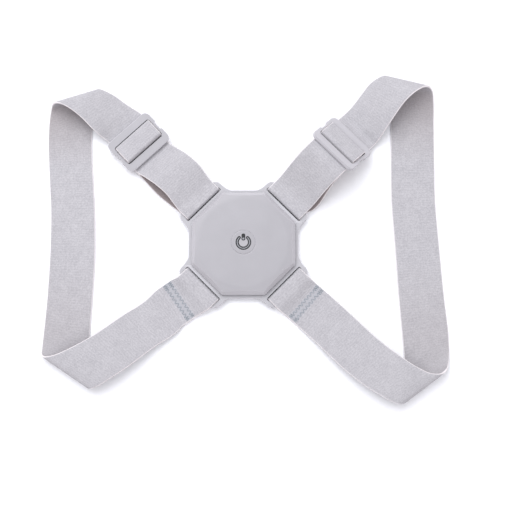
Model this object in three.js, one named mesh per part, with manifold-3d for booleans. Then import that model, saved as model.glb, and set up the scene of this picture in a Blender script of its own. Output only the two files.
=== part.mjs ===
// Posture corrector: an octagonal electronic module that sits between the shoulder
// blades, and two loops of elastic webbing that the arms go through. It lies face up
// on a table, as it comes out of its box. Millimetres, +Z up, origin in the middle of
// the module's back face.

import * as THREE from 'three';
import { mergeVertices } from 'three/addons/utils/BufferGeometryUtils.js';
import Module from 'manifold-3d';

const wasm = await Module();
wasm.setup();

// Clearances
const fitGap = 0.3; // between two separate pieces
const layerGap = 0.15; // between two layers of one strap

// Webbing
const strapWidth = 31;
const strapThickness = 1.5;
const bendRadius = 1.2; // middle of the webbing where it turns round a bar
const halfStrap = strapThickness / 2;
const seamLength = 26; // webbing turned back under itself past a lower ear's bar
const seamFrom = 0.6; // where the sewn stretch starts, as a share of seamLength

// Module, lower shell
const housingAcross = 76.4; // over the flats of the rim
const rimWidth = 2.2; // rim that shows round the cover
const rimThickness = 2.6;
const rimRound = 0.6;
const earLift = 0.9; // underside of the rim above the webbing that lies under it
const undercut = 1.7; // how far the lower body stands back from the rim
const floorThickness = 1.6;
const wall = 1.8;
const edgeRound = 1;

// Ears and their slots, measured outward along each diagonal
const slotInset = 0.3; // from the rim's flat to the slot
const slotRoom = 1.1; // wider than the webbing is thick
const slotSlack = 0.6; // beside the webbing, each side
const earBar = 5.4; // plastic outside the slot
const earMargin = 2.7; // plastic beside the slot, each side
const earCorner = 4.5;
const flatShare = 0.21; // straight part of a flat, as a share of housingAcross

// Cover
const coverWall = 2.3; // straight outer wall above the rim
const chamferOut = 1.8;
const chamferUp = 2.1;
const crownInset = 4.5; // from the cover's flats to the crown's round edge
const crownLift = 1.4; // edge of the crown above the chamfer
const crownRise = 0.5; // middle of the crown above its edge
const outerSlope = 0.26;

// Power button
const buttonRadius = 8.3;
const buttonStand = 0.15; // above the crown
const flangeWidth = 2;
const flangeThickness = 1.2;
const symbolRadius = 4.25; // middle of the ring's stroke
const symbolStroke = 2.3;
const symbolDepth = 0.5;
const symbolGap = 0.74; // half of the gap at the top, in radians
const symbolBarWidth = 2.6;
const symbolBarFrom = 1.2; // foot of the bar above the middle
const symbolBarPast = 0.6; // head of the bar past the ring

// Tri-glide buckles: length runs along the webbing
const endBar = 5.7;
const sideBar = 2.9;
const centreBar = 5.2;
const buckleThickness = 2.6;
const buckleRound = 0.7;
const buckleCorner = 4.2;
const windowRoom = 1.85; // past two layers of webbing, along it
const windowSlack = 0.4; // beside the webbing, each side
const humpGap = 0.7; // from the webbing over the centre bar to an end bar
const barRecess = 1; // centre bar's top below the frame's top
const notchDepth = 1.1;
const notchLength = 5.5;

// Where each buckle and each loop lies. out: along the upper diagonal. across: off the
// diagonal, towards the top. up: middle of the frame. yaw and pitch: degrees, pitch
// positive where the fold's side is higher. reach, rise and drop: how far the loop goes
// out, up and down from the origin. curl: height of the folds. seamTurn: degrees that
// the webbing veers towards the outside past the lower ear.
const left = {
  side: -1,
  out: 103.8,
  across: -1.1,
  up: 6.2,
  yaw: 2,
  pitch: 0,
  reach: 140,
  rise: 110,
  drop: 99,
  curl: 17,
  seamTurn: 10,
};
const right = {
  side: 1,
  out: 97.1,
  across: 0.2,
  up: 15.5,
  yaw: 0,
  pitch: -29,
  reach: 141,
  rise: 119,
  drop: 109,
  curl: 17,
  seamTurn: 3.5,
};

// Spans between an ear and its buckle. along: share of the way. sway: sideways, as a
// share of the webbing's width. lift: above the straight line, as a share of the curl.
left.underSpan = [
  { along: 0.2, sway: -0.02, lift: -0.05 },
  { along: 0.5, sway: -0.05, lift: -0.04 },
  { along: 0.8, sway: -0.03, lift: -0.02 },
];
left.overSpan = [
  { along: 0.15, sway: 0.03, lift: 0.12 },
  { along: 0.35, sway: 0.07, lift: 0.3 },
  { along: 0.6, sway: 0.06, lift: 0.38 },
  { along: 0.82, sway: 0.03, lift: 0.2 },
];
right.underSpan = [
  { along: 0.2, sway: 0, lift: 0.1 },
  { along: 0.45, sway: -0.03, lift: 0.06 },
  { along: 0.7, sway: -0.07, lift: -0.12 },
  { along: 0.88, sway: -0.06, lift: -0.08 },
];
right.overSpan = [
  { along: 0.2, sway: 0, lift: -0.02 },
  { along: 0.45, sway: 0.01, lift: 0.08 },
  { along: 0.7, sway: 0.01, lift: 0.17 },
  { along: 0.88, sway: 0, lift: 0.16 },
];

// Lines across the webbing, from the buckle round the loop to the lower ear. x: share of
// the reach. y: share of the rise, or of the drop below the origin. turn: degrees from
// level. wide: its length, as a share of the webbing's width. outer and inner: heights of
// its two ends, as shares of the curl.
left.lines = [
  { x: 0.674, y: 0.82, turn: -44, wide: 0.98, outer: 0.58, inner: 0.28 },
  { x: 0.732, y: 0.882, turn: -34, wide: 0.97, outer: 0.84, inner: 0.4 },
  { x: 0.784, y: 0.923, turn: -26, wide: 1, outer: 0.99, inner: 0.52 },
  { x: 0.825, y: 0.944, turn: -22, wide: 1.04, outer: 0.95, inner: 0.56 },
  { x: 0.852, y: 0.95, turn: -20, wide: 1.07, outer: 0.62, inner: 0.42 },
  { x: 0.868, y: 0.924, turn: -18, wide: 1.07, outer: 0.25, inner: 0.22 },
  { x: 0.879, y: 0.855, turn: -17, wide: 1.06, outer: 0.07, inner: 0.05 },
  { x: 0.884, y: 0.736, turn: -11, wide: 1.02, outer: 0, inner: 0 },
  { x: 0.881, y: 0.6, turn: -3, wide: 1, outer: 0, inner: 0 },
  { x: 0.871, y: 0.423, turn: 0, wide: 1, outer: 0, inner: 0 },
  { x: 0.858, y: 0.194, turn: 0, wide: 1, outer: 0, inner: 0 },
  { x: 0.854, y: -0.109, turn: 0, wide: 1.02, outer: 0, inner: 0 },
  { x: 0.861, y: -0.404, turn: 3, wide: 1.02, outer: 0, inner: 0 },
  { x: 0.87, y: -0.626, turn: 11, wide: 1.04, outer: 0, inner: 0 },
  { x: 0.876, y: -0.798, turn: 24, wide: 1.12, outer: 0.04, inner: 0.03 },
  { x: 0.874, y: -0.874, turn: 32, wide: 1.2, outer: 0.19, inner: 0.17 },
  { x: 0.854, y: -0.898, turn: 34, wide: 1.24, outer: 0.43, inner: 0.4 },
  { x: 0.811, y: -0.887, turn: 34, wide: 1.2, outer: 0.54, inner: 0.52 },
  { x: 0.745, y: -0.841, turn: 36, wide: 1.12, outer: 0.6, inner: 0.57 },
  { x: 0.643, y: -0.753, turn: 41, wide: 1.04, outer: 0.54, inner: 0.5 },
  { x: 0.514, y: -0.616, turn: 45, wide: 1, outer: 0.32, inner: 0.3 },
  { x: 0.414, y: -0.52, turn: 45, wide: 1, outer: 0.16, inner: 0.15 },
];
right.lines = [
  { x: 0.577, y: 0.687, turn: -44, wide: 1, outer: 0.17, inner: 0.17 },
  { x: 0.605, y: 0.72, turn: -44, wide: 0.98, outer: 0.36, inner: 0.22 },
  { x: 0.638, y: 0.769, turn: -44, wide: 0.96, outer: 0.62, inner: 0.28 },
  { x: 0.676, y: 0.831, turn: -40, wide: 0.96, outer: 0.88, inner: 0.36 },
  { x: 0.718, y: 0.895, turn: -34, wide: 0.96, outer: 1.07, inner: 0.45 },
  { x: 0.766, y: 0.941, turn: -26, wide: 0.97, outer: 1.13, inner: 0.52 },
  { x: 0.812, y: 0.968, turn: -19, wide: 1, outer: 0.92, inner: 0.5 },
  { x: 0.843, y: 0.956, turn: -16, wide: 1.02, outer: 0.53, inner: 0.3 },
  { x: 0.854, y: 0.895, turn: -14, wide: 1.02, outer: 0.15, inner: 0.09 },
  { x: 0.855, y: 0.78, turn: -9, wide: 1, outer: 0, inner: 0 },
  { x: 0.851, y: 0.58, turn: -2, wide: 1, outer: 0, inner: 0 },
  { x: 0.848, y: 0.27, turn: 0, wide: 1, outer: 0, inner: 0 },
  { x: 0.86, y: 0, turn: 2, wide: 1, outer: 0, inner: 0 },
  { x: 0.876, y: -0.356, turn: 3, wide: 1.02, outer: 0, inner: 0 },
  { x: 0.889, y: -0.569, turn: 9, wide: 1.04, outer: 0, inner: 0 },
  { x: 0.896, y: -0.761, turn: 25, wide: 1.08, outer: 0.03, inner: 0.01 },
  { x: 0.893, y: -0.843, turn: 34, wide: 1.14, outer: 0.16, inner: 0.13 },
  { x: 0.88, y: -0.895, turn: 37, wide: 1.17, outer: 0.37, inner: 0.34 },
  { x: 0.849, y: -0.915, turn: 35, wide: 1.15, outer: 0.52, inner: 0.49 },
  { x: 0.799, y: -0.905, turn: 33, wide: 1.08, outer: 0.61, inner: 0.56 },
  { x: 0.741, y: -0.868, turn: 34, wide: 1.04, outer: 0.64, inner: 0.57 },
  { x: 0.67, y: -0.808, turn: 38, wide: 1.02, outer: 0.58, inner: 0.52 },
  { x: 0.571, y: -0.706, turn: 43, wide: 1, outer: 0.44, inner: 0.4 },
  { x: 0.44, y: -0.541, turn: 44, wide: 1, outer: 0.22, inner: 0.2 },
];

// How finely the webbing and its bends are stepped
const stepsPerLine = 3;
const bendStep = THREE.MathUtils.degToRad(24);

// Solids

function solid(geometry) {
  const bare = new THREE.BufferGeometry();
  bare.setAttribute('position', geometry.getAttribute('position'));
  bare.setIndex(geometry.index);
  const merged = mergeVertices(bare, 1e-4);
  const corners = merged.index.array;
  const triangles = [];
  for (let i = 0; i < corners.length; i += 3) {
    const [a, b, c] = corners.slice(i, i + 3);
    if (a !== b && b !== c && c !== a) triangles.push(a, b, c);
  }
  return new wasm.Manifold(
    new wasm.Mesh({
      numProp: 3,
      vertProperties: new Float32Array(merged.getAttribute('position').array),
      triVerts: new Uint32Array(triangles),
    }),
  );
}

function geometryOf(body) {
  const { vertProperties, triVerts } = body.getMesh();
  const geometry = new THREE.BufferGeometry();
  geometry.setAttribute('position', new THREE.BufferAttribute(vertProperties, 3));
  geometry.setIndex(new THREE.BufferAttribute(triVerts, 1));
  geometry.computeVertexNormals();
  return geometry;
}

// A turned solid about Z. Eight sides make an octagon with flats across X and Y, and
// then each distance in the profile is measured to a flat.
function turned(profile, sides) {
  const toCorner = sides === 8 ? 1 / Math.cos(Math.PI / 8) : 1;
  const points = profile.map(([r, z]) => new THREE.Vector2(r * toCorner, z));
  const geometry = new THREE.LatheGeometry(points, sides, Math.PI / sides);
  return solid(geometry.rotateX(Math.PI / 2));
}

// A flat plate from its plan, with rounded edges, standing on height
function plate(shape, thickness, round, height) {
  const geometry = new THREE.ExtrudeGeometry(shape, {
    depth: thickness - 2 * round,
    bevelThickness: round,
    bevelSize: round,
    bevelOffset: -round,
    bevelSegments: 2,
    curveSegments: 5,
  });
  return solid(geometry.translate(0, 0, height + round));
}

function box(lengthX, lengthY, lengthZ, x, y, z) {
  return solid(new THREE.BoxGeometry(lengthX, lengthY, lengthZ).translate(x, y, z));
}

// A rectangle with round corners, as points along its edge
function roundedRectangle(path, halfX, halfY, radius, x = 0, y = 0) {
  path.moveTo(x - halfX + radius, y - halfY);
  path.lineTo(x + halfX - radius, y - halfY);
  path.absarc(x + halfX - radius, y - halfY + radius, radius, -Math.PI / 2, 0);
  path.lineTo(x + halfX, y + halfY - radius);
  path.absarc(x + halfX - radius, y + halfY - radius, radius, 0, Math.PI / 2);
  path.lineTo(x - halfX + radius, y + halfY);
  path.absarc(x - halfX + radius, y + halfY - radius, radius, Math.PI / 2, Math.PI);
  path.lineTo(x - halfX, y - halfY + radius);
  path.absarc(x - halfX + radius, y - halfY + radius, radius, Math.PI, Math.PI * 1.5);
  return path;
}

// Module

const rimHalf = housingAcross / 2;
const coverHalf = rimHalf - rimWidth;
const underRim = strapThickness + earLift;
const rimTop = underRim + rimThickness;
const coverFoot = rimTop + fitGap;
const cavityHalf = coverHalf - wall;
const slotInner = rimHalf + slotInset;
const slotWidth = strapThickness + slotRoom;
const slotHalf = strapWidth / 2 + slotSlack;
const barInner = slotInner + slotWidth;
const earReach = barInner + earBar;
const earHalf = slotHalf + earMargin;
const shoulder = coverFoot + coverWall;
const ceiling = shoulder + chamferUp - wall / 2;
const crownRadius = coverHalf - crownInset;
const crownEdge = shoulder + chamferUp + crownLift;
const crownTop = crownEdge + crownRise;
const earAngles = [45, 135, 225, 315].map(THREE.MathUtils.degToRad);

function onDiagonal(angle, u, v) {
  const plan = new THREE.Vector2(u, v);
  return plan.rotateAround(new THREE.Vector2(), angle);
}

function rimOutline() {
  const outline = new THREE.Shape();
  const flatHalf = flatShare * rimHalf;
  const cornerAlong = rimHalf - earHalf * Math.SQRT2; // where an ear's side meets a flat
  const turnIn = earReach - earCorner;
  for (const angle of earAngles) {
    const at = (u, v) => onDiagonal(angle, u, v);
    const flat = (along, sign) => {
      const plan = new THREE.Vector2(rimHalf, sign * along);
      return plan.rotateAround(new THREE.Vector2(), angle - (sign * Math.PI) / 4);
    };
    const start = flat(flatHalf, 1);
    if (angle === earAngles[0]) outline.moveTo(start.x, start.y);
    else outline.lineTo(start.x, start.y);
    const bendIn = flat(cornerAlong, 1);
    const shoulderIn = at(turnIn, -earHalf);
    outline.quadraticCurveTo(bendIn.x, bendIn.y, shoulderIn.x, shoulderIn.y);
    const first = at(turnIn, -earHalf + earCorner);
    outline.absarc(first.x, first.y, earCorner, angle - Math.PI / 2, angle);
    const second = at(turnIn, earHalf - earCorner);
    outline.absarc(second.x, second.y, earCorner, angle, angle + Math.PI / 2);
    const bendOut = flat(cornerAlong, -1);
    const end = flat(flatHalf, -1);
    outline.quadraticCurveTo(bendOut.x, bendOut.y, end.x, end.y);
  }
  return outline;
}

function slotHole(angle) {
  const hole = new THREE.Path();
  const straight = roundedRectangle(
    new THREE.Path(), slotWidth / 2, slotHalf, slotWidth / 3, slotInner + slotWidth / 2,
  );
  hole.setFromPoints(straight.getPoints(4).map((p) => onDiagonal(angle, p.x, p.y)));
  return hole;
}

function backHousing() {
  const outline = rimOutline();
  outline.holes = earAngles.map(slotHole);
  const rim = plate(outline, rimThickness, rimRound, underRim);
  const bodyHalf = rimHalf - undercut;
  const body = turned(
    [
      [0, 0],
      [bodyHalf - edgeRound, 0],
      [bodyHalf, edgeRound],
      [bodyHalf, underRim + rimRound],
      [0, underRim + rimRound],
    ],
    8,
  );
  const cavity = turned(
    [
      [0, floorThickness],
      [cavityHalf, floorThickness],
      [cavityHalf, rimTop + rimThickness],
      [0, rimTop + rimThickness],
    ],
    8,
  );
  return geometryOf(rim.add(body).subtract(cavity));
}

function frontCover() {
  const above = crownTop + coverWall;
  const outer = turned(
    [
      [0, coverFoot],
      [coverHalf, coverFoot],
      [coverHalf, shoulder],
      [coverHalf - chamferOut, shoulder + chamferUp],
      [coverHalf - chamferOut, above],
      [0, above],
    ],
    8,
  );
  const slopeEnd = coverHalf * 1.2;
  const slopeFoot = crownEdge - (slopeEnd - crownRadius) * outerSlope;
  const crown = [1, 0.7, 0.35, 0].map(
    (share) => [crownRadius * share, crownTop - crownRise * share ** 2],
  );
  const dome = turned([[0, 0], [slopeEnd, 0], [slopeEnd, slopeFoot], ...crown], 64);
  const inner = turned(
    [
      [0, 0],
      [cavityHalf, 0],
      [cavityHalf, shoulder],
      [cavityHalf - chamferOut, ceiling],
      [0, ceiling],
    ],
    8,
  );
  const holeRadius = buttonRadius + fitGap;
  const hole = turned([[0, 0], [holeRadius, 0], [holeRadius, above], [0, above]], 40);
  return geometryOf(outer.intersect(dome).subtract(inner).subtract(hole));
}

function symbolStrokes() {
  const ring = new THREE.Shape();
  const top = Math.PI / 2;
  const half = symbolStroke / 2;
  const from = top + symbolGap;
  const to = top - symbolGap + 2 * Math.PI;
  const endAt = (angle) => [symbolRadius * Math.cos(angle), symbolRadius * Math.sin(angle)];
  ring.absarc(0, 0, symbolRadius + half, from, to);
  ring.absarc(...endAt(to), half, to, to + Math.PI);
  ring.absarc(0, 0, symbolRadius - half, to, from, true);
  ring.absarc(...endAt(from), half, from + Math.PI, from + 2 * Math.PI);
  const barTo = symbolRadius + half + symbolBarPast;
  const barMiddle = (symbolBarFrom + barTo) / 2;
  const barHalf = (barTo - symbolBarFrom) / 2;
  const bar = roundedRectangle(
    new THREE.Shape(), symbolBarWidth / 2, barHalf, half * 0.9, 0, barMiddle,
  );
  const settings = { depth: 2 * symbolDepth, bevelEnabled: false, curveSegments: 12 };
  return [ring, bar].map((shape) => new THREE.ExtrudeGeometry(shape, settings));
}

function powerButton() {
  const top = crownTop + buttonStand;
  const flangeTop = ceiling - fitGap;
  const flangeRadius = buttonRadius + flangeWidth;
  let button = turned(
    [
      [0, flangeTop - flangeThickness],
      [flangeRadius, flangeTop - flangeThickness],
      [flangeRadius, flangeTop],
      [buttonRadius, flangeTop],
      [buttonRadius, top - symbolDepth],
      [buttonRadius - symbolDepth, top],
      [0, top],
    ],
    40,
  );
  for (const stroke of symbolStrokes()) {
    button = button.subtract(solid(stroke.translate(0, 0, top - symbolDepth)));
  }
  return geometryOf(button);
}

// Buckle, lying in its own frame: X along the webbing, Y across it

const windowHalfX = centreBar / 2 + fitGap + 2 * strapThickness + layerGap + windowRoom;
const windowHalfY = strapWidth / 2 + windowSlack;
const buckleHalfX = windowHalfX + endBar;

function buckle() {
  const halfX = buckleHalfX;
  const halfY = windowHalfY + sideBar;
  const notchHalf = notchLength / 2;
  const outline = new THREE.Shape();
  outline.moveTo(-halfX + buckleCorner, -halfY);
  for (const turn of [0, Math.PI]) {
    const at = (x, y) => {
      const plan = new THREE.Vector2(x, y);
      return plan.rotateAround(new THREE.Vector2(), turn);
    };
    const lineTo = (x, y) => outline.lineTo(at(x, y).x, at(x, y).y);
    const arcTo = (x, y, from) => {
      const { x: cx, y: cy } = at(x, y);
      outline.absarc(cx, cy, buckleCorner, turn + from, turn + from + Math.PI / 2);
    };
    lineTo(-notchHalf - notchDepth, -halfY);
    lineTo(-notchHalf, -halfY + notchDepth);
    lineTo(notchHalf, -halfY + notchDepth);
    lineTo(notchHalf + notchDepth, -halfY);
    arcTo(halfX - buckleCorner, -halfY + buckleCorner, -Math.PI / 2);
    arcTo(halfX - buckleCorner, halfY - buckleCorner, 0);
  }
  const corner = buckleRound * 2;
  outline.holes = [roundedRectangle(new THREE.Path(), windowHalfX, windowHalfY, corner)];
  const frame = plate(outline, buckleThickness, buckleRound, -buckleThickness / 2);
  const barThickness = buckleThickness - barRecess;
  const barMiddle = -barRecess / 2;
  const bar = box(centreBar, 2 * windowHalfY + buckleRound, barThickness, 0, 0, barMiddle);
  return geometryOf(frame.add(bar));
}

// Webbing. A line is the middle of a line across it, and the direction across.

// A path with each inner corner turned into an arc
function withBends(corners, radius) {
  const points = corners.map(([x, y]) => new THREE.Vector2(x, y));
  const path = [points[0]];
  for (let i = 1; i < points.length - 1; i += 1) {
    const corner = points[i];
    const back = points[i - 1].clone().sub(corner).normalize();
    const on = points[i + 1].clone().sub(corner).normalize();
    const turnsLeft = on.cross(back) > 0;
    const half = back.angleTo(on) / 2;
    const centre = back.clone().add(on).setLength(radius / Math.sin(half)).add(corner);
    const start = back.setLength(radius / Math.tan(half)).add(corner).sub(centre);
    const sweep = Math.PI - 2 * half;
    const steps = Math.ceil(sweep / bendStep);
    for (let k = 0; k <= steps; k += 1) {
      const angle = ((turnsLeft ? 1 : -1) * sweep * k) / steps;
      path.push(start.clone().rotateAround(new THREE.Vector2(), angle).add(centre));
    }
  }
  path.push(points.at(-1));
  return path;
}

// The frame of a buckle, seen with its loop to the right: along, across and normal
function buckleFrame(loop) {
  const yaw = THREE.MathUtils.degToRad(45 + loop.yaw);
  const pitch = THREE.MathUtils.degToRad(loop.pitch);
  const plan = onDiagonal(Math.PI / 4, loop.out, loop.across);
  const across = new THREE.Vector3(-Math.sin(yaw), Math.cos(yaw), 0);
  const along = new THREE.Vector3(Math.cos(yaw), Math.sin(yaw), 0)
    .applyAxisAngle(across, -pitch);
  const normal = new THREE.Vector3().crossVectors(along, across);
  return { middle: new THREE.Vector3(plan.x, plan.y, loop.up), along, across, normal };
}

function linesThrough(frame, path) {
  return path.map(({ x, y }) => ({
    middle: frame.middle.clone().addScaledVector(frame.along, x)
      .addScaledVector(frame.normal, y),
    across: frame.across.clone(),
  }));
}

function earFrame(angle, across) {
  return {
    middle: new THREE.Vector3(),
    along: new THREE.Vector3(Math.cos(angle), Math.sin(angle), 0),
    across: new THREE.Vector3(Math.cos(across), Math.sin(across), 0),
    normal: new THREE.Vector3(0, 0, 1),
  };
}

const barClear = fitGap + halfStrap; // middle of the webbing to the bar that it turns on
const besideBar = barInner - barClear;
const overEar = rimTop + barClear;
const layerStep = strapThickness + layerGap;

// Through a slot and round the ear's bar, from underneath to the top
function roundEar() {
  const away = earReach + bendRadius;
  return withBends(
    [[away, halfStrap], [besideBar, halfStrap], [besideBar, overEar], [away, overEar]],
    bendRadius,
  );
}

const underBars = -buckleThickness / 2 - barClear;
const overCentre = buckleThickness / 2 - barRecess + barClear;
const besideCentre = centreBar / 2 + barClear;
const pastBuckle = buckleHalfX + bendRadius;

// The sewn end: under the buckle, up past the centre bar, over it and down
function sewnEnd() {
  const low = underBars - layerStep;
  return withBends(
    [
      [-besideCentre, underBars + layerGap],
      [-besideCentre, overCentre],
      [besideCentre, overCentre],
      [besideCentre, low],
      [-pastBuckle, low],
    ],
    bendRadius,
  );
}

// The long part: under the end bars and over the sewn end
function threaded() {
  const beside = windowHalfX - humpGap - halfStrap;
  const over = overCentre + layerStep;
  return withBends(
    [
      [-pastBuckle, underBars],
      [-beside, underBars],
      [-beside, over],
      [beside, over],
      [beside, underBars],
      [pastBuckle, underBars],
    ],
    bendRadius,
  );
}

function span(before, after, rows, curl) {
  const from = before.at(-1);
  const to = after[0];
  return rows.map(({ along, sway, lift }) => {
    const across = from.across.clone().lerp(to.across, along).normalize();
    const middle = from.middle.clone().lerp(to.middle, along)
      .addScaledVector(across, sway * strapWidth);
    middle.z = Math.max(middle.z + lift * curl, halfStrap);
    return { middle, across };
  });
}

function loopLines(loop) {
  return loop.lines.map(({ x, y, turn, wide, outer, inner }) => {
    const angle = Math.PI + THREE.MathUtils.degToRad(turn);
    const rise = ((inner - outer) * loop.curl) / strapWidth;
    const across = new THREE.Vector3(Math.cos(angle), Math.sin(angle), rise);
    across.setLength(wide);
    const up = y < 0 ? y * loop.drop : y * loop.rise;
    const height = halfStrap + ((outer + inner) / 2) * loop.curl;
    return { middle: new THREE.Vector3(x * loop.reach, up, height), across };
  });
}

// Smooth lines between two stretches, through the chosen lines
function smooth(before, lines, after) {
  const all = [...before.slice(-2), ...lines, ...after.slice(0, 2)];
  const middles = new THREE.CatmullRomCurve3(all.map((line) => line.middle));
  const acrosses = new THREE.CatmullRomCurve3(all.map((line) => line.across));
  acrosses.curveType = 'catmullrom';
  const last = all.length - 1;
  const out = [];
  for (let i = stepsPerLine + 1; i < (last - 1) * stepsPerLine; i += 1) {
    const t = i / (last * stepsPerLine);
    out.push({ middle: middles.getPoint(t), across: acrosses.getPoint(t) });
  }
  return out;
}

// The whole strap, seen with its loop to the right
function strapLines(loop) {
  const frame = buckleFrame(loop);
  const upperAcross = Math.PI * 0.75;
  const upper = linesThrough(earFrame(Math.PI / 4, upperAcross), roundEar());
  const lowerAcross = Math.PI * 1.25;
  const lowerFrame = earFrame(-Math.PI / 4, lowerAcross);
  const lower = linesThrough(lowerFrame, roundEar()).reverse();
  const sewn = linesThrough(frame, sewnEnd());
  const through = linesThrough(frame, threaded());
  const veer = THREE.MathUtils.degToRad(loop.seamTurn);
  const seamFrame = earFrame(-Math.PI / 4 + veer, lowerAcross + veer);
  seamFrame.middle.copy(lowerFrame.along).multiplyScalar(barInner);
  const seamAt = (height) => linesThrough(
    seamFrame, [1, seamFrom].map((share) => new THREE.Vector2(share * seamLength, height)),
  );
  const seamTop = seamAt(halfStrap + layerStep);
  const seamUnder = seamAt(halfStrap).reverse();
  return [
    ...sewn,
    ...smooth(sewn, span(sewn, upper, loop.underSpan, loop.curl), upper),
    ...upper,
    ...smooth(upper, span(upper, through, loop.overSpan, loop.curl), through),
    ...through,
    ...smooth(through, loopLines(loop), seamTop),
    ...seamTop,
    ...smooth(seamTop, [], lower),
    ...lower,
    ...seamUnder,
  ];
}

// A closed band of webbing through its lines, pressed flat where the table stops it
function band(lines, side) {
  const flip = new THREE.Vector3(side, 1, 1);
  const middles = lines.map((line) => line.middle.clone().multiply(flip));
  const vertices = [];
  const triangles = [];
  lines.forEach((line, i) => {
    const middle = middles[i];
    const back = middles[Math.max(i - 1, 0)];
    const on = middles[Math.min(i + 1, middles.length - 1)];
    const along = on.clone().sub(back).normalize();
    const across = line.across.clone().multiply(flip);
    const normal = across.clone().cross(along);
    normal.setLength(halfStrap);
    for (const [end, up] of [[-1, 1], [1, 1], [1, -1], [-1, -1]]) {
      const corner = middle.clone().addScaledVector(across, (end * strapWidth) / 2)
        .addScaledVector(normal, up);
      vertices.push(corner.x, corner.y, Math.max(corner.z, 0));
    }
    if (i === 0) return;
    const old = (i - 1) * 4;
    for (let k = 0; k < 4; k += 1) {
      const next = (k + 1) % 4;
      triangles.push(old + k, old + next, old + next + 4);
      triangles.push(old + k, old + next + 4, old + k + 4);
    }
  });
  const end = (lines.length - 1) * 4;
  triangles.push(0, 2, 1, 0, 3, 2, end, end + 1, end + 2, end, end + 2, end + 3);
  const geometry = new THREE.BufferGeometry();
  geometry.setAttribute('position', new THREE.Float32BufferAttribute(vertices, 3));
  geometry.setIndex(triangles);
  geometry.computeVertexNormals();
  return geometry;
}

// Materials: moulded plastic and knitted elastic

const paint = (color, roughness) =>
  new THREE.MeshStandardMaterial({ color, roughness, metalness: 0 });

function piece(name, geometry, material) {
  const mesh = new THREE.Mesh(geometry, material);
  mesh.name = name;
  return mesh;
}

const corrector = new THREE.Group();
corrector.add(piece('back_housing', backHousing(), paint('#c6c4ca', 0.5)));
corrector.add(piece('front_cover', frontCover(), paint('#c3c1c8', 0.42)));
corrector.add(piece('power_button', powerButton(), paint('#c1bfc6', 0.45)));

for (const [name, loop] of Object.entries({ left, right })) {
  const frame = buckleFrame(loop);
  const flip = new THREE.Vector3(loop.side, 1, 1);
  const along = frame.along.clone().multiply(flip);
  const normal = frame.normal.clone().multiply(flip);
  const across = normal.clone().cross(along);
  const slider = piece(`${name}_buckle`, buckle(), paint('#bdbbc2', 0.45));
  slider.quaternion.setFromRotationMatrix(
    new THREE.Matrix4().makeBasis(along, across, normal),
  );
  slider.position.copy(frame.middle.clone().multiply(flip));
  corrector.add(slider);
  const webbing = band(strapLines(loop), loop.side);
  corrector.add(piece(`${name}_strap`, webbing, paint('#c8c5cc', 0.9)));
}

export default corrector;
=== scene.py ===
import math
from collections import namedtuple

import bpy
import numpy as np
from mathutils import Matrix, Vector
from mathutils.geometry import tessellate_polygon


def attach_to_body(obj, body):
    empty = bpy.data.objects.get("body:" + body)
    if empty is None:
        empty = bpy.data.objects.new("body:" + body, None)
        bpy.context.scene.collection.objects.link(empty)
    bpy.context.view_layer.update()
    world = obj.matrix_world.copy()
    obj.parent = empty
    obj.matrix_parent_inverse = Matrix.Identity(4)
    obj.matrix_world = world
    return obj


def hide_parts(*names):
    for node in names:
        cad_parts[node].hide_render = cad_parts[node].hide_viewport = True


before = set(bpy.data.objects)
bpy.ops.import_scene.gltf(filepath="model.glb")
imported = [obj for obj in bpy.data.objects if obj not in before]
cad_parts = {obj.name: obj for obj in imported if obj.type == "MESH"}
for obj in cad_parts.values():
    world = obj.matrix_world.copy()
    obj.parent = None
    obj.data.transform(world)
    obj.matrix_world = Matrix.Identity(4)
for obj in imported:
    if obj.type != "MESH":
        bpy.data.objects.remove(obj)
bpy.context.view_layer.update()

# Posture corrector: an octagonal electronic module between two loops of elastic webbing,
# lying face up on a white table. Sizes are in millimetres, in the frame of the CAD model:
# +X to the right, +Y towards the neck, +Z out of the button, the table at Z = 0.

MM = 0.001  # a millimetre, in Blender's metres
UP = np.array([0.0, 0.0, 1.0])

# Clearances
FIT_GAP = 0.3
LAYER_GAP = 0.15

# Webbing
STRAP_WIDTH = 31
STRAP_THICKNESS = 1.5
HALF_STRAP = STRAP_THICKNESS / 2
BEND_RADIUS = 1.2
BEND_STEP = math.radians(9)
STEPS_PER_LINE = 9
COLUMNS = 16
SELVEDGE_ROUND = 0.05  # share of the half width that the rounded edge takes up
SEAM_LENGTH = 26  # from the ear's bar to the webbing's sewn end
SEAM_FROM = 0.6  # share of that length from which the two layers lie flat together
SEAM_ROWS = (17, 21)  # two rows of zig-zag, measured out from the ear's bar
SEAM_DENT = 0.08
STITCH_WIDTH = 2.6
STITCH_PITCH = 3
STITCH_INSET = 0.7
BARTACK = 3.4  # length of the wider, denser stitches at each end of a row
BARTACK_WIDTH = 1.4 * STITCH_WIDTH
BARTACK_PITCH = 0.45 * STITCH_PITCH
THREAD_RADIUS = 0.24
THREAD_RISE = ((0, -0.5), (0.25, 0.35), (0.75, 0.35))  # along a stitch, in thread radii
THREAD_UNDER = 0.18  # height of its middle on the underside
DENT_REACH = 0.8  # on each side of a row
SEWN_TINT = 0.5  # how much of the thread's colour shows between the stitches

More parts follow.
